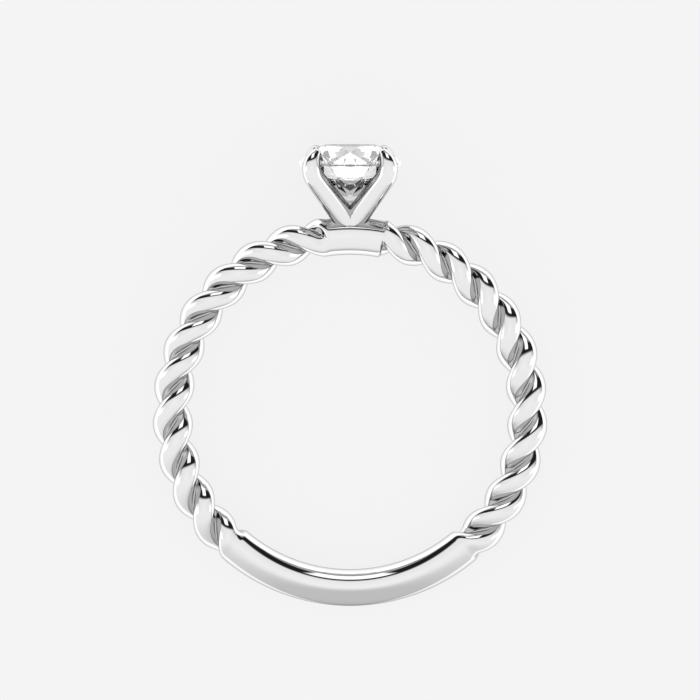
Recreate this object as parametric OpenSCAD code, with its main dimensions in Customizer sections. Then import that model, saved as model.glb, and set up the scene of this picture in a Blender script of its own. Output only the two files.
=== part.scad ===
// Solitaire ring with a two-strand twisted shank.
// A round bar forms the bridge under the head and the plain stretch at the bottom of the band.
// Between them the band is two round strands laid in a right-hand twist.
// Four round prongs rise from the bridge and hook over one round brilliant-cut stone.
// The ring lies on its side, as it would on a table: the stone's edge and the bottom of the band touch it.
// Angles round the band start at its right and run towards the head, which is at 90 degrees.

/* [Band] */
// Inner diameter, which is the finger size
finger_d = 16.5; // [14:0.1:22]
// Thickness of the plain round bar at the bridge and at the bottom
bar_d = 1.95; // [1.5:0.05:3]

/* [Twist] */
// Thickness of each of the two strands
strand_d = 1.13; // [0.9:0.01:1.8]
// Depth to which the two strands sink into each other
strand_sink = 0.15; // [0.05:0.01:0.4]
// Angle round the band from one lobe to the next
lobe_angle = 12.33; // [9:0.01:18]
// Where a front lobe has its middle on the right side
right_lobe_at = 2; // [-6:0.1:8]
// Where a front lobe has its middle on the left side
left_lobe_at = 103.7; // [100:0.1:112]

/* [Bridge under the head] */
// Where the right strands end and the bridge begins
bridge_from = 78.8; // [70:0.1:82]
// Where the bridge ends and the left strands begin
bridge_to = 100.8; // [97:0.1:108]
// Angle over which the right strands melt into the bridge
bridge_blend_right = 1; // [1:0.1:5]
// Angle over which the left strands melt into the bridge
bridge_blend_left = 4.2; // [1:0.1:7]

/* [Plain stretch at the bottom] */
// Where the left strands end and the plain bar begins
plain_from = 224.7; // [210:0.1:245]
// Where the plain bar ends and the right strands begin
plain_to = 314.5; // [295:0.1:330]
// Angle over which the strands melt into the plain bar
plain_blend = 5; // [3:0.1:10]

/* [Stone] */
// Diameter at the girdle
stone_d = 5.3; // [4:0.1:8]
// Width of the table as a share of the diameter
table_share = 0.54; // [0.5:0.01:0.62]
// Slope of the crown's main facets
crown_angle = 35.5; // [30:0.5:37]
// Slope of the pavilion's main facets
pavilion_angle = 40.8; // [39:0.1:42]
// Height of the girdle's band
girdle_h = 0.14; // [0.05:0.01:0.25]

/* [Head] */
// Thickness of a prong at its foot
prong_d = 1.3; // [0.9:0.05:1.6]
// Thickness of a prong beside the girdle
neck_d = 1.02; // [0.8:0.02:1.2]
// Thickness of a claw's tip
claw_d = 0.6; // [0.5:0.02:0.8]
// How far a prong's middle line stands outside the girdle
prong_out = 0.16; // [0.1:0.02:0.4]
// Distance of a prong's middle line from the head's axis at the bridge
foot_r = 0.4; // [0.3:0.02:0.8]
// Gap between the stone's point and the bridge
culet_gap = 0.5; // [0.2:0.05:1.5]
// Angle through which a claw hooks over the crown
claw_hook = 46; // [40:1:60]
// How far below the girdle's middle a claw begins to hook
hook_drop = 0.1; // [0:0.02:0.2]
// Gap between the stone and its seat
seat_gap = 0.03; // [0.02:0.01:0.08]

/* [Hidden] */

// Fineness of the faceted surfaces
BAND_SIDES = 20;
STEPS_PER_LOBE = 8;
BRIDGE_STEP = 3;
PLAIN_STEP = 5;
PRONG_SIDES = 16;
REACH_STEPS = 24;

// The brilliant cut repeats in eighths
CUT = 8;
EIGHTH = 360 / CUT;
// How far the star facets reach across the crown, and the lower halves down the pavilion
STAR_SHARE = 0.5;
LOWER_HALF_SHARE = 0.77;

// Bends of a prong's middle line, in prong thicknesses
LOWER_BEND = 0.73;
HOOK_BEND = 0.7;
PRONGS = 4;
FIRST_PRONG = 45;
// Length by which a leg runs on into the bridge, in prong thicknesses
FOOT_SINK = 0.375;

// Derived sizes of the band
finger_r = finger_d / 2;
bar_r = bar_d / 2;
strand_r = strand_d / 2;
strand_offset = (strand_d - strand_sink) / 2;
rope_r = strand_offset + strand_r;
rope_line_r = finger_r + rope_r;
half_turn_per_degree = 180 / lobe_angle;
// Turn of the twist, in degrees, for each millimetre along the band
twist_rate = half_turn_per_degree * 180 / (PI * rope_line_r);

// Distance from the twist's middle to its surface, at an angle from the line through both strands.
// A strand leans, so each ball along it counts, and the one that reaches furthest gives the surface.
function ball_reach(angle, s) =
    let (side = strand_offset * sin(angle - twist_rate * s),
         left = strand_r * strand_r - s * s - side * side)
    left < 0 ? 0 : strand_offset * cos(angle - twist_rate * s) + sqrt(left);
function strand_reach(angle) =
    max([for (k = [-REACH_STEPS : REACH_STEPS]) ball_reach(angle, strand_r * k / REACH_STEPS)]);
rope_profile = [
    for (j = [0 : BAND_SIDES - 1])
        let (angle = 360 * j / BAND_SIDES)
        max(strand_reach(angle), strand_reach(angle + 180))
];

// Turn of the twist at each angle round the band: the strands keep their lay, the bars take up the rest
band_start = plain_to - plain_blend - 360;
right_end = bridge_from + bridge_blend_right;
left_start = bridge_to - bridge_blend_left;
left_end = plain_from + plain_blend;
band_end = band_start + 360;
function right_turn(t) = 90 - half_turn_per_degree * (t - right_lobe_at);
function left_turn(t) = 90 - half_turn_per_degree * (t - left_lobe_at);
function nearest_half_turn(from, to) = 180 * round((from - to) / 180);
left_shift = nearest_half_turn(right_turn(right_end), left_turn(left_start));
end_shift = nearest_half_turn(left_turn(left_end) + left_shift, right_turn(band_start));
turns = [
    [band_start, right_turn(band_start)],
    [right_end, right_turn(right_end)],
    [left_start, left_turn(left_start) + left_shift],
    [left_end, left_turn(left_end) + left_shift],
    [band_end, right_turn(band_start) + end_shift]
];

// How much of the section is plain bar at each angle round the band, from 0 to 1
plainness = [
    [band_start, 1],
    [band_start + plain_blend, 0],
    [bridge_from, 0],
    [right_end, 1],
    [left_start, 1],
    [bridge_to, 0],
    [plain_from, 0],
    [left_end, 1],
    [band_end, 1]
];
function smooth(w) = w * w * (3 - 2 * w);
function mix(a, b, w) = a + (b - a) * w;

// One section of the band, flush with the finger size on its inner side
function band_section(t) =
    let (w = smooth(lookup(t, plainness)),
         turn = lookup(t, turns),
         line_r = finger_r + mix(rope_r, bar_r, w))
    [
        for (j = [0 : BAND_SIDES - 1])
            let (angle = turn + 360 * j / BAND_SIDES,
                 reach = mix(rope_profile[j], bar_r, w),
                 out = line_r + reach * cos(angle))
            [out * cos(t), out * sin(t), reach * sin(angle)]
    ];
function span(from, to, step) =
    let (count = ceil((to - from) / step))
    [for (i = [0 : count - 1]) from + (to - from) * i / count];
stations = concat(
    span(band_start, right_end, lobe_angle / STEPS_PER_LOBE),
    span(right_end, left_start, BRIDGE_STEP),
    span(left_start, left_end, lobe_angle / STEPS_PER_LOBE),
    span(left_end, band_end, PLAIN_STEP)
);
band_points = [for (t = stations) each band_section(t)];
// The last section meets the first one turned by whole half turns
end_slip = BAND_SIDES / 360 * end_shift;

// Place of a point in the list of a swept surface
function at(section, j, sides) = section * sides + (j % sides + sides) % sides;
band_faces = [
    for (i = [0 : len(stations) - 1], j = [0 : BAND_SIDES - 1])
        let (last = i == len(stations) - 1,
             next = last ? 0 : i + 1,
             slip = last ? end_slip : 0,
             a = at(i, j, BAND_SIDES),
             b = at(i, j + 1, BAND_SIDES),
             c = at(next, j + 1 + slip, BAND_SIDES),
             d = at(next, j + slip, BAND_SIDES))
        each [[a, b, c], [a, c, d]]
];

// Derived sizes of the head, with heights from the band's centre
stone_r = stone_d / 2;
bridge_top = finger_r + bar_d;
pavilion_h = stone_r * tan(pavilion_angle);
girdle_at = bridge_top + culet_gap + pavilion_h + girdle_h / 2;
hook_at = girdle_at - hook_drop;
prong_r = prong_d / 2;
neck_r = neck_d / 2;
claw_r = claw_d / 2;
widest_r = stone_r + prong_out;
lower_bend_r = LOWER_BEND * prong_d;
hook_bend_r = HOOK_BEND * prong_d;
// The leg runs from its foot on the bridge and is tangent to the lower bend
bend_run = widest_r - lower_bend_r - foot_r;
bend_rise = hook_at - bridge_top;
leg_lean = atan2(bend_run, bend_rise) + asin(lower_bend_r / norm([bend_run, bend_rise]));
leg_top = [widest_r - lower_bend_r * (1 - cos(leg_lean)), hook_at - lower_bend_r * sin(leg_lean)];
leg_dir = [sin(leg_lean), cos(leg_lean)];
leg_foot = [foot_r, bridge_top] - FOOT_SINK * prong_d * leg_dir;
hook_line = [widest_r - hook_bend_r, hook_at];

// Stations along a prong's middle line: place, lean from upright, half the thickness
LEG_STEPS = 3;
BEND_STEPS = 4;
HOOK_STEPS = 4;
TIP_STEPS = 3;
// A prong tapers evenly with height up to where it hooks, and the claw tapers on to its tip
function leg_r(place) = mix(prong_r, neck_r, (place[1] - leg_foot[1]) / (hook_at - leg_foot[1]));
prong_leg = [
    for (i = [0 : LEG_STEPS - 1])
        let (place = mix(leg_foot, leg_top, i / LEG_STEPS))
        [place, leg_lean, leg_r(place)]
];
prong_bend = [
    for (i = [0 : BEND_STEPS - 1])
        let (lean = leg_lean * (1 - i / BEND_STEPS),
             place = [widest_r - lower_bend_r * (1 - cos(lean)), hook_at - lower_bend_r * sin(lean)])
        [place, lean, leg_r(place)]
];
prong_hook = [
    for (i = [0 : HOOK_STEPS])
        let (lean = -claw_hook * i / HOOK_STEPS)
        [
            hook_line + hook_bend_r * [cos(lean), -sin(lean)],
            lean,
            mix(neck_r, claw_r, i / HOOK_STEPS)
        ]
];
hook_end = prong_hook[HOOK_STEPS][0];
prong_tip = [
    for (i = [1 : TIP_STEPS - 1])
        let (angle = 90 * i / TIP_STEPS)
        [
            hook_end + claw_r * sin(angle) * [-sin(claw_hook), cos(claw_hook)],
            -claw_hook,
            claw_r * cos(angle)
        ]
];
prong_stations = concat(prong_leg, prong_bend, prong_hook, prong_tip);
tip_end = hook_end + claw_r * [-sin(claw_hook), cos(claw_hook)];
// A prong's points in its own frame, with the head's axis up and the prong towards +X
prong_points = concat(
    [
        for (s = prong_stations, j = [0 : PRONG_SIDES - 1])
            let (q = 360 * j / PRONG_SIDES)
            [
                s[0][0] + s[2] * cos(q) * cos(s[1]),
                s[2] * sin(q),
                s[0][1] - s[2] * cos(q) * sin(s[1])
            ]
    ],
    [[tip_end[0], 0, tip_end[1]]]
);
last_ring = len(prong_stations) - 1;
prong_faces = concat(
    [[for (j = [0 : PRONG_SIDES - 1]) at(0, j, PRONG_SIDES)]],
    [
        for (i = [0 : last_ring - 1], j = [0 : PRONG_SIDES - 1])
            let (a = at(i, j, PRONG_SIDES),
                 b = at(i, j + 1, PRONG_SIDES),
                 c = at(i + 1, j + 1, PRONG_SIDES),
                 d = at(i + 1, j, PRONG_SIDES))
            each [[a, c, b], [a, d, c]]
    ],
    [
        for (j = [0 : PRONG_SIDES - 1])
            [at(last_ring, j, PRONG_SIDES), len(prong_points) - 1, at(last_ring, j + 1, PRONG_SIDES)]
    ]
);

// The ring leans on the bottom of the band and on its prongs or the stone's edge, whichever stand out further.
// A lean is that of a line that touches two circles: the bar's, and one of radius r at this run and side.
function touching_lean(side, run, r) = atan2(side, run) - asin((bar_r - r) / norm([side, run]));
bar_line_r = finger_r + bar_r;
girdle_bottom = girdle_at - girdle_h / 2;
rest_lean = max(
    touching_lean(widest_r * sin(FIRST_PRONG), hook_at + bar_line_r, neck_r),
    touching_lean(stone_r, girdle_bottom + bar_line_r, 0)
);
function turned(p, angle) =
    [p[0] * cos(angle) - p[1] * sin(angle), p[0] * sin(angle) + p[1] * cos(angle), p[2]];
function height_at_rest(p) = p[1] * sin(rest_lean) + p[2] * cos(rest_lean);
lowest_band = min([for (p = band_points) height_at_rest(p)]);
lowest_prong = min([
    for (p = prong_points)
        let (q = turned(p, FIRST_PRONG))
        height_at_rest([q[0], q[2], -q[1]])
]);
lowest_stone = height_at_rest([0, girdle_bottom, -stone_r]);
rest_lift = -min(lowest_band, lowest_prong, lowest_stone);

// Lays the ring down, with the finger hole's axis through the origin of the table's plane
module at_rest() {
    translate([0, -rest_lift * tan(rest_lean), rest_lift])
        rotate([rest_lean, 0, 0])
            children();
}

// Turns the head's axis from +Z to the direction of the head in the band's plane
module on_head_axis() {
    rotate([-90, 0, 0])
        children();
}

module band() {
    polyhedron(points = band_points, faces = band_faces, convexity = 10);
}

module prong() {
    polyhedron(points = prong_points, faces = prong_faces, convexity = 4);
}

// A round brilliant, larger all round by grow
module brilliant(grow = 0) {
    r = stone_r + grow;
    table_r = r * table_share;
    top_of_girdle = girdle_h / 2 + grow / 2;
    crown_slope = tan(crown_angle);
    pavilion_slope = tan(pavilion_angle);
    // A star facet's point lies on both main facets beside it
    table_edge_r = table_r * cos(EIGHTH / 2);
    star_r = mix(table_edge_r, r, STAR_SHARE);
    star_at = top_of_girdle + (r - star_r * cos(EIGHTH / 2)) * crown_slope;
    half_r = r * (1 - LOWER_HALF_SHARE);
    half_at = -top_of_girdle - (r - half_r * cos(EIGHTH / 2)) * pavilion_slope;
    // The girdle's edges dip where the half facets meet it between their corners
    chord_r = r * cos(EIGHTH / 4);
    upper_slope = (star_at - top_of_girdle) / (r * cos(EIGHTH / 4) - star_r * cos(EIGHTH / 4));
    lower_slope = (-top_of_girdle - half_at) / (r * cos(EIGHTH / 4) - half_r * cos(EIGHTH / 4));
    function ring(radius, height, count, start) =
        [for (i = [0 : count - 1]) let (q = start + 360 * i / count) [radius * cos(q), radius * sin(q), height]];
    points = concat(
        ring(table_r, top_of_girdle + (r - table_r) * crown_slope, CUT, EIGHTH / 2),
        ring(star_r, star_at, CUT, 0),
        ring(r, top_of_girdle, 2 * CUT, 0),
        ring(r, top_of_girdle - (r - chord_r) * upper_slope, 2 * CUT, EIGHTH / 4),
        ring(r, -top_of_girdle, 2 * CUT, 0),
        ring(r, -top_of_girdle + (r - chord_r) * lower_slope, 2 * CUT, EIGHTH / 4),
        ring(half_r, half_at, CUT, 0),
        [[0, 0, -top_of_girdle - r * pavilion_slope]]
    );
    hull()
        polyhedron(points = points, faces = [for (i = [0 : len(points) - 3]) [i, i + 1, i + 2]]);
}

module ring_and_setting() {
    color("gainsboro")
        at_rest()
            difference() {
                union() {
                    band();
                    on_head_axis()
                        for (k = [0 : PRONGS - 1])
                            rotate([0, 0, FIRST_PRONG + 360 / PRONGS * k])
                                prong();
                }
                on_head_axis()
                    translate([0, 0, girdle_at])
                        brilliant(seat_gap);
            }
}

module stone() {
    color("aliceblue")
        at_rest()
            on_head_axis()
                translate([0, 0, girdle_at])
                    brilliant();
}

ring_and_setting();
stone();
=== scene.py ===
"""Twisted shank ring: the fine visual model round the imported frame, with its light and camera."""

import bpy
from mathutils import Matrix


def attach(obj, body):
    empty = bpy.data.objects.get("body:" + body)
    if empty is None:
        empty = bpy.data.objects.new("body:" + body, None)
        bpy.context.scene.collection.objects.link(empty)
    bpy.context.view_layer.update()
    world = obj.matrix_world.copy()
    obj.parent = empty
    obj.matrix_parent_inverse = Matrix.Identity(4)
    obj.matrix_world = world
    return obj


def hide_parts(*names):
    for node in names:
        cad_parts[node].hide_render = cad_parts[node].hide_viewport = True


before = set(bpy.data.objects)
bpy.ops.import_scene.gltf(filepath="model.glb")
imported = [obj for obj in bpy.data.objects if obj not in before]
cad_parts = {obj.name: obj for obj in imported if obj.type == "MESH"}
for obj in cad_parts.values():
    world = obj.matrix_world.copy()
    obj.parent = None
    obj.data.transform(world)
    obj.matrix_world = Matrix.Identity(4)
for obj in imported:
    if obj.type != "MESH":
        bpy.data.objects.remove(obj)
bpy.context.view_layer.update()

import math

import bmesh
import bpy
import numpy as np
from mathutils import Matrix, Vector

MM = 0.001

# Sizes of the part, in millimetres and degrees, as in its source
FINGER_D, BAR_D = 16.5, 1.95
STRAND_D, STRAND_SINK = 1.13, 0.15
LOBE_ANGLE, RIGHT_LOBE_AT, LEFT_LOBE_AT = 12.33, 2.0, 103.7
BRIDGE_FROM, BRIDGE_TO = 78.8, 100.8
BRIDGE_BLEND_RIGHT, BRIDGE_BLEND_LEFT = 1.0, 4.2
PLAIN_FROM, PLAIN_TO, PLAIN_BLEND = 224.7, 314.5, 5.0
STONE_D, TABLE_SHARE, CROWN_ANGLE, PAVILION_ANGLE, GIRDLE_H = 5.3, 0.54, 35.5, 40.8, 0.14
CUT, STAR_SHARE, LOWER_HALF_SHARE = 8, 0.5, 0.77
PRONGS, FIRST_PRONG = 4, 45
PRONG_D, NECK_D, CLAW_D, PRONG_OUT, FOOT_R = 1.3, 1.02, 0.6, 0.16, 0.4
CULET_GAP, CLAW_HOOK, HOOK_DROP, SEAT_GAP = 0.5, 46.0, 0.1, 0.03
LOWER_BEND, HOOK_BEND, FOOT_SINK = 0.73 * PRONG_D, 0.7 * PRONG_D, 0.375 * PRONG_D

# Fineness of the visual surfaces: steps round the band in degrees, the rest in counts
BAND_SIDES = 80
REACH_STEPS = 160
ROPE_STEP, BLEND_STEP, BAR_STEP = 0.36, 0.16, 0.8
PRONG_SIDES, LEG_STEPS, BEND_STEPS, HOOK_STEPS, TIP_STEPS = 40, 6, 26, 26, 12

# Derived sizes
finger_r, bar_r, strand_r = FINGER_D / 2, BAR_D / 2, STRAND_D / 2
strand_offset = (STRAND_D - STRAND_SINK) / 2
rope_r = strand_offset + strand_r
half_turn_rate = 180 / LOBE_ANGLE
twist_rate = half_turn_rate * 180 / (math.pi * (finger_r + rope_r))
stone_r, prong_r, neck_r, claw_r = STONE_D / 2, PRONG_D / 2, NECK_D / 2, CLAW_D / 2
bridge_top = finger_r + BAR_D
girdle_at = bridge_top + CULET_GAP + stone_r * math.tan(math.radians(PAVILION_ANGLE)) + GIRDLE_H / 2
hook_at = girdle_at - HOOK_DROP
widest_r = stone_r + PRONG_OUT


def smooth(w):
    return w * w * (3 - 2 * w)


def mix(a, b, w):
    return a + (b - a) * w


# The band: one section of two strands or of round bar, turned and swept round the ring
def rope_reach(angles):
    """Distance from the twist's middle to its surface at each angle, in degrees."""
    s = np.linspace(-strand_r, strand_r, 2 * REACH_STEPS + 1)[None, :]
    best = np.zeros(len(angles))
    for turned in (angles, angles + 180):
        a = np.radians(turned[:, None] - twist_rate * s)
        left = strand_r**2 - s**2 - (strand_offset * np.sin(a)) ** 2
        reach = np.where(left >= 0, strand_offset * np.cos(a) + np.sqrt(np.maximum(left, 0)), 0)
        best = np.maximum(best, reach.max(axis=1))
    return best


band_start = PLAIN_TO - PLAIN_BLEND - 360
right_end = BRIDGE_FROM + BRIDGE_BLEND_RIGHT
left_start = BRIDGE_TO - BRIDGE_BLEND_LEFT
left_end = PLAIN_FROM + PLAIN_BLEND
band_end = band_start + 360


def right_turn(t):
    return 90 - half_turn_rate * (t - RIGHT_LOBE_AT)


def left_turn(t):
    return 90 - half_turn_rate * (t - LEFT_LOBE_AT)


def nearest_half_turn(a, b):
    return 180 * round((a - b) / 180)


# The twist's turn, and how much of the section is plain bar, at angles round the band
left_shift = nearest_half_turn(right_turn(right_end), left_turn(left_start))
end_shift = nearest_half_turn(left_turn(left_end) + left_shift, right_turn(band_start))
turn_at = (band_start, right_end, left_start, left_end, band_end)
turn_is = (
    right_turn(band_start),
    right_turn(right_end),
    left_turn(left_start) + left_shift,
    left_turn(left_end) + left_shift,
    right_turn(band_start) + end_shift,
)
plain_at = (
    band_start, band_start + PLAIN_BLEND, BRIDGE_FROM, right_end,
    left_start, BRIDGE_TO, PLAIN_FROM, left_end, band_end,
)
plain_is = (1, 0, 0, 1, 1, 0, 0, 1, 1)


def stations():
    steps = 2 * (BLEND_STEP, ROPE_STEP, BLEND_STEP, BAR_STEP)
    spans = []
    for a, b, step in zip(plain_at[:-1], plain_at[1:], steps):
        spans.append(np.linspace(a, b, math.ceil((b - a) / step), endpoint=False))
    return np.concatenate(spans)


def band_mesh():
    t = stations()
    around = np.arange(BAND_SIDES) * 360 / BAND_SIDES
    profile = rope_reach(around)[None, :]
    w = smooth(np.interp(t, plain_at, plain_is))[:, None]
    angle = np.radians(np.interp(t, turn_at, turn_is)[:, None] + around[None, :])
    reach = mix(profile, bar_r, w)
    out = finger_r + mix(rope_r, bar_r, w) + reach * np.cos(angle)
    tr = np.radians(t)[:, None]
    points = np.stack([out * np.cos(tr), out * np.sin(tr), reach * np.sin(angle)], axis=-1)
    # The last section meets the first one turned by whole half turns
    slip = round(BAND_SIDES / 360 * end_shift)
    n, faces = len(t), []
    for i in range(n):
        k, off = (0, slip) if i == n - 1 else (i + 1, 0)
        for j in range(BAND_SIDES):
            a, b = i * BAND_SIDES + j, i * BAND_SIDES + (j + 1) % BAND_SIDES
            c = k * BAND_SIDES + (j + 1 + off) % BAND_SIDES
            d = k * BAND_SIDES + (j + off) % BAND_SIDES
            faces.append((a, b, c, d))
    return points.reshape(-1, 3), faces


# A prong: a round leg, tangent to a bend at the girdle, hooked over the crown
def prong_mesh():
    run, rise = widest_r - LOWER_BEND - FOOT_R, hook_at - bridge_top
    lean = math.atan2(run, rise) + math.asin(LOWER_BEND / math.hypot(run, rise))
    top = np.array([widest_r - LOWER_BEND * (1 - math.cos(lean)), hook_at - LOWER_BEND * math.sin(lean)])
    foot = np.array([FOOT_R, bridge_top]) - FOOT_SINK * np.array([math.sin(lean), math.cos(lean)])

    def leg_r(at):
        return mix(prong_r, neck_r, (at[1] - foot[1]) / (hook_at - foot[1]))

    # Its middle line: place, lean from upright and half the thickness
    line = [(at, lean, leg_r(at)) for at in (mix(foot, top, i / LEG_STEPS) for i in range(LEG_STEPS))]
    for i in range(BEND_STEPS):
        a = lean * (1 - i / BEND_STEPS)
        at = (widest_r - LOWER_BEND * (1 - math.cos(a)), hook_at - LOWER_BEND * math.sin(a))
        line.append((at, a, leg_r(at)))
    for i in range(HOOK_STEPS + 1):
        a = -math.radians(CLAW_HOOK) * i / HOOK_STEPS
        at = (widest_r - HOOK_BEND * (1 - math.cos(a)), hook_at - HOOK_BEND * math.sin(a))
        line.append((at, a, mix(neck_r, claw_r, i / HOOK_STEPS)))
    end, hook = np.array(line[-1][0]), math.radians(CLAW_HOOK)
    ahead = np.array([-math.sin(hook), math.cos(hook)])
    for i in range(1, TIP_STEPS):
        a = math.radians(90 * i / TIP_STEPS)
        line.append((end + claw_r * math.sin(a) * ahead, -hook, claw_r * math.cos(a)))
    tip = end + claw_r * ahead
    q = np.arange(PRONG_SIDES) * 2 * math.pi / PRONG_SIDES
    points = [
        (at[0] + r * math.cos(p) * math.cos(a), r * math.sin(p), at[1] - r * math.cos(p) * math.sin(a))
        for at, a, r in line
        for p in q
    ]
    points.append((tip[0], 0, tip[1]))
    faces = [tuple(range(PRONG_SIDES))]
    for i in range(len(line) - 1):
        for j in range(PRONG_SIDES):
            a, b = i * PRONG_SIDES + j, i * PRONG_SIDES + (j + 1) % PRONG_SIDES
            faces.append((a, a + PRONG_SIDES, b + PRONG_SIDES, b))
    last = (len(line) - 1) * PRONG_SIDES
    for j in range(PRONG_SIDES):
        faces.append((last + j, len(points) - 1, last + (j + 1) % PRONG_SIDES))
    return np.array(points), faces


# The stone's cut, larger all round by grow, for the seat
def seat_points(grow):
    eighth = math.radians(360 / CUT)
    r = stone_r + grow
    top = GIRDLE_H / 2 + grow / 2
    crown, pavilion = math.tan(math.radians(CROWN_ANGLE)), math.tan(math.radians(PAVILION_ANGLE))
    table_r = r * TABLE_SHARE
    star_r = mix(table_r * math.cos(eighth / 2), r, STAR_SHARE)
    half_r = r * (1 - LOWER_HALF_SHARE)
    rows = (
        (table_r, top + (r - table_r) * crown, CUT, eighth / 2),
        (star_r, top + (r - star_r * math.cos(eighth / 2)) * crown, CUT, 0),
        (r, top, 2 * CUT, 0),
        (r, -top, 2 * CUT, 0),
        (half_r, -top - (r - half_r * math.cos(eighth / 2)) * pavilion, CUT, 0),
    )
    points = [
        (row_r * math.cos(start + k * math.tau / n), row_r * math.sin(start + k * math.tau / n), z)
        for row_r, z, n, start in rows
        for k in range(n)
    ]
    return points + [(0, 0, -top - r * pavilion)]


# Rest: the stone's edge and the bottom of the band touch the surface
girdle_bottom = girdle_at - GIRDLE_H / 2
to_bar = girdle_bottom + finger_r + bar_r
rest_lean = math.atan2(stone_r, to_bar) - math.asin(bar_r / math.hypot(stone_r, to_bar))
rest_lift = stone_r * math.cos(rest_lean) - girdle_bottom * math.sin(rest_lean)
ring_centre = Vector((0, -rest_lift * math.tan(rest_lean), rest_lift))

# Turns the head's axis from +Z to the direction of the head in the band's plane
ON_HEAD = Matrix.Rotation(math.radians(-90), 4, "X")


def new_object(name, points, faces, place=None):
    mesh = bpy.data.meshes.new(name)
    mesh.from_pydata([tuple(p) for p in points], [], faces)
    obj = bpy.data.objects.new(name, mesh)
    bpy.context.scene.collection.objects.link(obj)
    if place is not None:
        mesh.transform(place)
    bm = bmesh.new()
    bm.from_mesh(mesh)
    bmesh.ops.recalc_face_normals(bm, faces=bm.faces)
    bm.to_mesh(mesh)
    bm.free()
    return obj


def combine(obj, other, operation):
    modifier = obj.modifiers.new(operation, "BOOLEAN")
    modifier.operation, modifier.solver, modifier.object = operation, "MANIFOLD", other
    depsgraph = bpy.context.evaluated_depsgraph_get()
    mesh = bpy.data.meshes.new_from_object(obj.evaluated_get(depsgraph))
    obj.modifiers.clear()
    old, obj.data = obj.data, mesh
    bpy.data.meshes.remove(old)
    bpy.data.objects.remove(other)


# Edges that bend by more degrees than this stay sharp, if they are on the head
SHARP_ANGLE = 32
# In millimetres from the ring's axis: where the head begins, where its prongs' feet begin, and how far these
# reach to each side
HEAD_FROM, FOOT_FROM, FOOT_ZONE = 10.4, 9.3, 1.25


def metal():
    points, faces = band_mesh()
    ring = new_object("ring_metal", points, faces)
    points, faces = prong_mesh()
    for k in range(PRONGS):
        turn = Matrix.Rotation(math.radians(FIRST_PRONG + 360 / PRONGS * k), 4, "Z")
        combine(ring, new_object("prong_tool", points, faces, ON_HEAD @ turn), "UNION")
    tool = bmesh.new()
    verts = [tool.verts.new(p) for p in seat_points(SEAT_GAP)]
    bmesh.ops.convex_hull(tool, input=verts)
    seat = bpy.data.objects.new("seat_tool", bpy.data.meshes.new("seat_tool"))
    tool.to_mesh(seat.data)
    tool.free()
    seat.data.transform(ON_HEAD @ Matrix.Translation((0, 0, girdle_at)))
    bpy.context.scene.collection.objects.link(seat)
    combine(ring, seat, "DIFFERENCE")
    for polygon in ring.data.polygons:
        polygon.use_smooth = True
    ring.data.set_sharp_from_angle(angle=math.radians(SHARP_ANGLE))
    # The creases of the twist are softly rounded
    sharp, vertices = ring.data.attributes["sharp_edge"].data, ring.data.vertices
    for edge in ring.data.edges:
        x, y, _ = (vertices[edge.vertices[0]].co + vertices[edge.vertices[1]].co) / 2
        if y < HEAD_FROM and (abs(x) > FOOT_ZONE or y < FOOT_FROM):
            sharp[edge.index].value = False
    # Laid down to rest, where the CAD node lies
    ring.data.transform(Matrix.Rotation(rest_lean, 4, "X"))
    ring.data.transform(Matrix.Translation(ring_centre))
    ring.data.transform(Matrix.Scale(MM, 4))
    ring.data.name = "ring_metal"
    return ring


ring = metal()
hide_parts("ring_and_setting")
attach(ring, "root")

# Materials: the metal's reflectance, the tint of its grazing reflections and the grain of its polish
METAL_COLOR, METAL_EDGE_TINT = (0.49, 0.49, 0.493, 1), (0.34, 0.34, 0.34, 1)
POLISH_SCALE, POLISH_DETAIL, POLISH_ROUGHNESS = 900, 3, (0.003, 0.016)
STONE_COLOR, DIAMOND_IOR = (0.99, 0.995, 1, 1), 2.417


def new_shader(name):
    material = bpy.data.materials.new(name)
    material.use_nodes = True
    return material, material.node_tree, material.node_tree.nodes["Principled BSDF"]


def white_metal():
    material, tree, shader = new_shader("white_metal_polished")
    shader.inputs["Base Color"].default_value = METAL_COLOR
    shader.inputs["Metallic"].default_value = 1
    shader.inputs["Specular Tint"].default_value = METAL_EDGE_TINT
    coords = tree.nodes.new("ShaderNodeTexCoord")
    noise = tree.nodes.new("ShaderNodeTexNoise")
    noise.inputs["Scale"].default_value = POLISH_SCALE
    noise.inputs["Detail"].default_value = POLISH_DETAIL
    tree.links.new(coords.outputs["Object"], noise.inputs["Vector"])
    rough = tree.nodes.new("ShaderNodeMapRange")
    rough.inputs["To Min"].default_value, rough.inputs["To Max"].default_value = POLISH_ROUGHNESS
    tree.links.new(noise.outputs["Fac"], rough.inputs["Value"])
    tree.links.new(rough.outputs["Result"], shader.inputs["Roughness"])
    return material


def diamond():
    material, _, shader = new_shader("stone_clear")
    shader.inputs["Base Color"].default_value = STONE_COLOR
    shader.inputs["Roughness"].default_value = 0
    shader.inputs["IOR"].default_value = DIAMOND_IOR
    shader.inputs["Transmission Weight"].default_value = 1
    return material


# One material on every face of the metal
ring.data.materials.clear()
ring.data.materials.append(white_metal())
for polygon in ring.data.polygons:
    polygon.material_index = 0
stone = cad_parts["stone"]
stone.material_slots[0].material = diamond()


# Studio: a dome of light, a pale floor and a reflector card with painted contact shadow
def math_node(tree, operation, *values):
    """The result of a Math node. Each value is a number or another node's output."""
    node = tree.nodes.new("ShaderNodeMath")
    node.operation = operation
    for socket, value in zip(node.inputs, values):
        if isinstance(value, (int, float)):
            socket.default_value = value
        else:
            tree.links.new(value, socket)
    return node.outputs[0]


def fade_in(tree, value, low, high):
    """0 below low, 1 above high, smooth between."""
    node = tree.nodes.new("ShaderNodeMapRange")
    node.interpolation_type = "SMOOTHSTEP"
    node.inputs["From Min"].default_value = low
    node.inputs["From Max"].default_value = high
    tree.links.new(value, node.inputs["Value"])
    return node.outputs["Result"]


def fade_out(tree, value, low, high):
    """1 below low, 0 above high, smooth between."""
    return math_node(tree, "SUBTRACT", 1, fade_in(tree, value, low, high))


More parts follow.
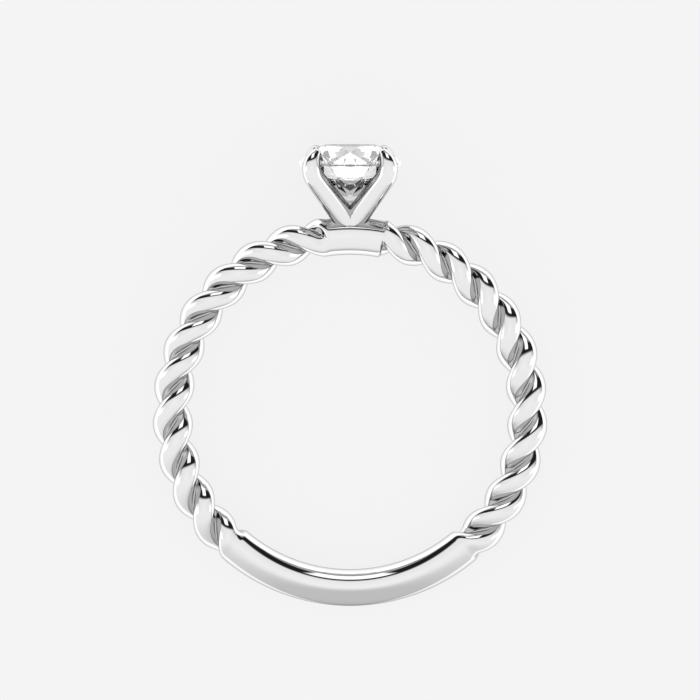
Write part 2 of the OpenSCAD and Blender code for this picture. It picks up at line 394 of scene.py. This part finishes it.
def inside(tree, value, low, high, soft):
    """1 between low and high, fading over soft to either side of both."""
    return math_node(tree, "SUBTRACT", fade_in(tree, value, low - soft, low + soft),
                     fade_in(tree, value, high - soft, high + soft))


def both_of(tree, a, b):
    return math_node(tree, "MULTIPLY", a, b)


def blend(tree, a, b, share):
    return math_node(tree, "ADD", math_node(tree, "MULTIPLY", a, math_node(tree, "SUBTRACT", 1, share)),
                     math_node(tree, "MULTIPLY", b, share))


def distance(tree, a, b):
    squares = [math_node(tree, "MULTIPLY", side, side) for side in (a, b)]
    return math_node(tree, "SQRT", math_node(tree, "ADD", *squares))


# A colour ramp holds 0 to 1, so it holds brightness divided by this
RAMP_TOP = 2


def brightness(tree, value, stops):
    """Brightness by value, from stops that each give a value and the brightness there."""
    node = tree.nodes.new("ShaderNodeValToRGB")
    elements, far = node.color_ramp.elements, stops[-1][0]
    while len(elements) > 1:
        elements.remove(elements[-1])
    for i, (at, level) in enumerate(stops):
        element = elements[0] if i == 0 else elements.new(at / far)
        shade = level / RAMP_TOP
        element.position, element.color = at / far, (shade, shade, shade, 1)
    tree.links.new(math_node(tree, "DIVIDE", value, far), node.inputs[0])
    return math_node(tree, "MULTIPLY", node.outputs[0], RAMP_TOP)


def axes_of(tree, kind):
    coords = tree.nodes.new("ShaderNodeTexCoord")
    split = tree.nodes.new("ShaderNodeSeparateXYZ")
    tree.links.new(coords.outputs[kind], split.inputs[0])
    return split.outputs


def stage_tree(obj, name):
    """The empty node tree of a new material on obj."""
    material = bpy.data.materials.new(name)
    material.use_nodes = True
    material.node_tree.nodes.clear()
    obj.data.materials.append(material)
    return material.node_tree


def emission_of(tree, strength):
    emission = tree.nodes.new("ShaderNodeEmission")
    tree.links.new(strength, emission.inputs["Strength"])
    return emission.outputs[0]


def link_output(tree, kind, surface):
    out = tree.nodes.new(kind)
    tree.links.new(surface, out.inputs["Surface"])


# The background's brightness as the camera sees it, and the share of the dome's that passes the clear stone
BACKGROUND_SEEN, DOME_THROUGH_STONE = 0.9, 0.55
# The dome: degrees from straight above down to the horizon, with the brightness there
DOME_STOPS = ((0, 1.76), (20, 1.7), (35, 1.62), (60, 1.6), (90, 1.55))
# Its parts: the degrees over which each fades, sideways and towards the head, and its brightness
SOFTBOX_SIDE, SOFTBOX_HEAD, SOFTBOX = (54, 66), (-85, -60), 2.3
GREY_SIDE, GREY_HEAD, GREY = (48, 70), (6, 38), 0.8
DARK_SIDE, DARK_HEAD, DARK = (66, 90), (37, 46), 0.025
BEYOND_SIDE, BEYOND_HEAD, BEYOND = (44, 54), (68, 74), 0.7
# A small softbox within the dark part: its fade sideways, and its bounds and their softness towards the head
PATCH_SIDE, PATCH_HEAD, PATCH_EDGE = (15, 19), (52, 75), 2
# Keeps the point straight above out of a division by zero
NEARLY_ZERO = 0.001


def studio():
    world = bpy.data.worlds.new("studio")
    bpy.context.scene.world = world
    world.use_nodes = True
    tree = world.node_tree
    tree.nodes.clear()
    x, y, z = axes_of(tree, "Generated")
    # The dome laid flat: degrees from straight above, sideways and towards the head
    off = math_node(tree, "MULTIPLY", math_node(tree, "ARCCOSINE", z), 180 / math.pi)
    scale = math_node(tree, "DIVIDE", off, math_node(tree, "MAXIMUM", distance(tree, x, y), NEARLY_ZERO))
    side = math_node(tree, "MULTIPLY", math_node(tree, "ABSOLUTE", x), scale)
    head = math_node(tree, "MULTIPLY", y, scale)
    light = brightness(tree, off, DOME_STOPS)
    # White softboxes low on both sides, and grey on both sides towards the head
    white = both_of(tree, fade_in(tree, side, *SOFTBOX_SIDE), fade_in(tree, head, *SOFTBOX_HEAD))
    light = blend(tree, light, SOFTBOX, white)
    grey = both_of(tree, fade_in(tree, side, *GREY_SIDE), fade_in(tree, head, *GREY_HEAD))
    light = blend(tree, light, GREY, grey)
    # Dark past the head, with grey low beyond it and a small softbox in it
    dark = both_of(tree, fade_in(tree, head, *DARK_HEAD), fade_out(tree, side, *DARK_SIDE))
    light = blend(tree, light, DARK, dark)
    beyond = both_of(tree, fade_in(tree, head, *BEYOND_HEAD), fade_out(tree, side, *BEYOND_SIDE))
    light = blend(tree, light, BEYOND, beyond)
    patch = both_of(tree, inside(tree, head, *PATCH_HEAD, PATCH_EDGE), fade_out(tree, side, *PATCH_SIDE))
    light = blend(tree, light, SOFTBOX, patch)
    path = tree.nodes.new("ShaderNodeLightPath")
    dimmed = math_node(tree, "MULTIPLY", light, DOME_THROUGH_STONE)
    light = blend(tree, light, dimmed, path.outputs["Is Transmission Ray"])
    light = blend(tree, light, BACKGROUND_SEEN, path.outputs["Is Camera Ray"])
    background = tree.nodes.new("ShaderNodeBackground")
    background.inputs["Color"].default_value = (1, 1, 1, 1)
    tree.links.new(light, background.inputs["Strength"])
    link_output(tree, "ShaderNodeOutputWorld", background.outputs[0])


# The floor, in metres: half its side, and how far it lies below the ring
FLOOR_HALF, FLOOR_DROP = 1.5, 0.00002
# Its brightness: as the ring sees it, as the camera sees it, and the share of light that it scatters
FLOOR_GLOW, FLOOR_GLOW_SEEN, FLOOR_DIFFUSE = 2.1, 0.815, 0.06
# The head's shade on it, in millimetres: its middle, half its straight part, where it begins to fade and
# where it has faded, and then the brightness in it
SHADE_AT, SHADE_HALF, SHADE_FROM, SHADE_TO, FLOOR_SHADED = 14.3, 1.2, 0.5, 1.4, 0.5
# The floor seen through the stone: millimetres from the ring's axis, from and to, with the brightness there.
# It is dimmed, and darkest outside these bands, as painted shade that gives the stone's facets their dark
# patches. It is dimmed to the photo's exposure, as the stone is clear
FLOOR_THROUGH_STONE_SHADE_BANDS = ((11.4, 13.35, 0.95), (13.35, 16.0, 0.55))
FLOOR_THROUGH_SHADED, FLOOR_THROUGH_EDGE = 0.15, 0.05


def floor():
    half, z = FLOOR_HALF, -FLOOR_DROP
    corners = [(-half, -half, z), (half, -half, z), (half, half, z), (-half, half, z)]
    obj = new_object("floor", corners, [(0, 1, 2, 3)])
    tree = stage_tree(obj, "floor_pale")
    x, y, _ = axes_of(tree, "Object")
    past = math_node(tree, "SUBTRACT", math_node(tree, "ABSOLUTE", x), SHADE_HALF * MM)
    beside = math_node(tree, "MAXIMUM", past, 0)
    along = math_node(tree, "SUBTRACT", y, SHADE_AT * MM)
    unshaded = fade_in(tree, distance(tree, beside, along), SHADE_FROM * MM, SHADE_TO * MM)
    glow = math_node(tree, "MULTIPLY", unshaded, FLOOR_GLOW - FLOOR_SHADED)
    glow = math_node(tree, "ADD", glow, FLOOR_SHADED)
    # Painted shade seen through the stone: dark outside the bands, dimmer in the farther band
    through = FLOOR_THROUGH_SHADED
    for low, high, level in FLOOR_THROUGH_STONE_SHADE_BANDS:
        here = inside(tree, y, low * MM, high * MM, FLOOR_THROUGH_EDGE * MM)
        through = blend(tree, through, level, here)
    path = tree.nodes.new("ShaderNodeLightPath")
    glow = blend(tree, glow, through, path.outputs["Is Transmission Ray"])
    glow = blend(tree, glow, FLOOR_GLOW_SEEN, path.outputs["Is Camera Ray"])
    diffuse = tree.nodes.new("ShaderNodeBsdfDiffuse")
    diffuse.inputs["Color"].default_value = (FLOOR_DIFFUSE, FLOOR_DIFFUSE, FLOOR_DIFFUSE, 1)
    both = tree.nodes.new("ShaderNodeAddShader")
    tree.links.new(diffuse.outputs[0], both.inputs[0])
    tree.links.new(emission_of(tree, glow), both.inputs[1])
    link_output(tree, "ShaderNodeOutputMaterial", both.outputs[0])


# The card, in millimetres: its place along Y, half its width and its height
CARD_AT, CARD_HALF, CARD_TALL = -10.34, 90, 90
# Its brightness by millimetres from the bar's middle, which count for less along the bar, by the stretch;
# dimmest next to the bar, as painted contact shadow in the bar's reflections
CARD_SHADE_STOPS = ((0, 1.03), (2, 1.05), (3, 1.2), (5.5, 1.5), (9, 1.66), (30, 1.7))
CARD_STRETCH = 2.0
# Below this height over the bar's middle it glows as the floor does, with an edge of this width above it
CARD_LOW, CARD_EDGE = -0.7, 0.2


def card():
    """A reflector card beside the bar, seen only in reflections, with painted contact shadow next to the
    bar's middle.
    """
    span, y, top = CARD_HALF * MM, CARD_AT * MM, CARD_TALL * MM
    obj = new_object("card", [(-span, y, 0), (span, y, 0), (span, y, top), (-span, y, top)], [(0, 1, 2, 3)])
    tree = stage_tree(obj, "card_painted_contact_shade")
    x, _, z = axes_of(tree, "Object")
    along = math_node(tree, "DIVIDE", x, CARD_STRETCH * MM)
    above = math_node(tree, "SUBTRACT", math_node(tree, "DIVIDE", z, MM), rest_lift)
    # Painted contact shadow: the card glows dimmest next to the bar's middle
    glow = brightness(tree, distance(tree, along, above), CARD_SHADE_STOPS)
    glow = blend(tree, FLOOR_GLOW, glow, fade_in(tree, above, CARD_LOW, CARD_LOW + CARD_EDGE))
    link_output(tree, "ShaderNodeOutputMaterial", emission_of(tree, glow))
    for ray in ("camera", "diffuse", "transmission", "shadow"):
        setattr(obj, "visible_" + ray, False)


studio()
floor()
card()

# Camera, nearly straight above the lying ring, as the photo looks at its front: the photo's scale, and the
# pixel where the ring's centre lies in it
PIXELS_PER_MM, FRAME_PIXELS = 19.09, 700
CENTRE_PIXEL = (350.06, 412.2)
# Its distance in millimetres, and its angle to the ring's axis in degrees
CAMERA_FAR, CAMERA_ANGLE = 400.0, 4
CAMERA_TILT = math.radians(CAMERA_ANGLE) - rest_lean
# Its sensor's width in millimetres, and the nearest and farthest that it sees in metres
SENSOR_WIDTH, CLIP_FROM, CLIP_TO = 36, 0.01, 5


def camera():
    data = bpy.data.cameras.new("camera")
    cam = bpy.data.objects.new("camera", data)
    bpy.context.scene.collection.objects.link(cam)
    back = Vector((0, math.sin(CAMERA_TILT), math.cos(CAMERA_TILT)))
    up = Vector((0, math.cos(CAMERA_TILT), -math.sin(CAMERA_TILT)))
    right = Vector((1, 0, 0))
    half = FRAME_PIXELS / 2
    across, along = (half - CENTRE_PIXEL[0]) / PIXELS_PER_MM, (CENTRE_PIXEL[1] - half) / PIXELS_PER_MM
    aim = ring_centre + right * across + up * along
    place = Matrix((right, up, back)).transposed().to_4x4()
    place.translation = (aim + back * CAMERA_FAR) * MM
    cam.matrix_world = place
    data.sensor_width = SENSOR_WIDTH
    data.lens = SENSOR_WIDTH * CAMERA_FAR * PIXELS_PER_MM / FRAME_PIXELS
    data.clip_start, data.clip_end = CLIP_FROM, CLIP_TO
    bpy.context.scene.camera = cam


camera()
bpy.context.scene.view_settings.view_transform = "Standard"
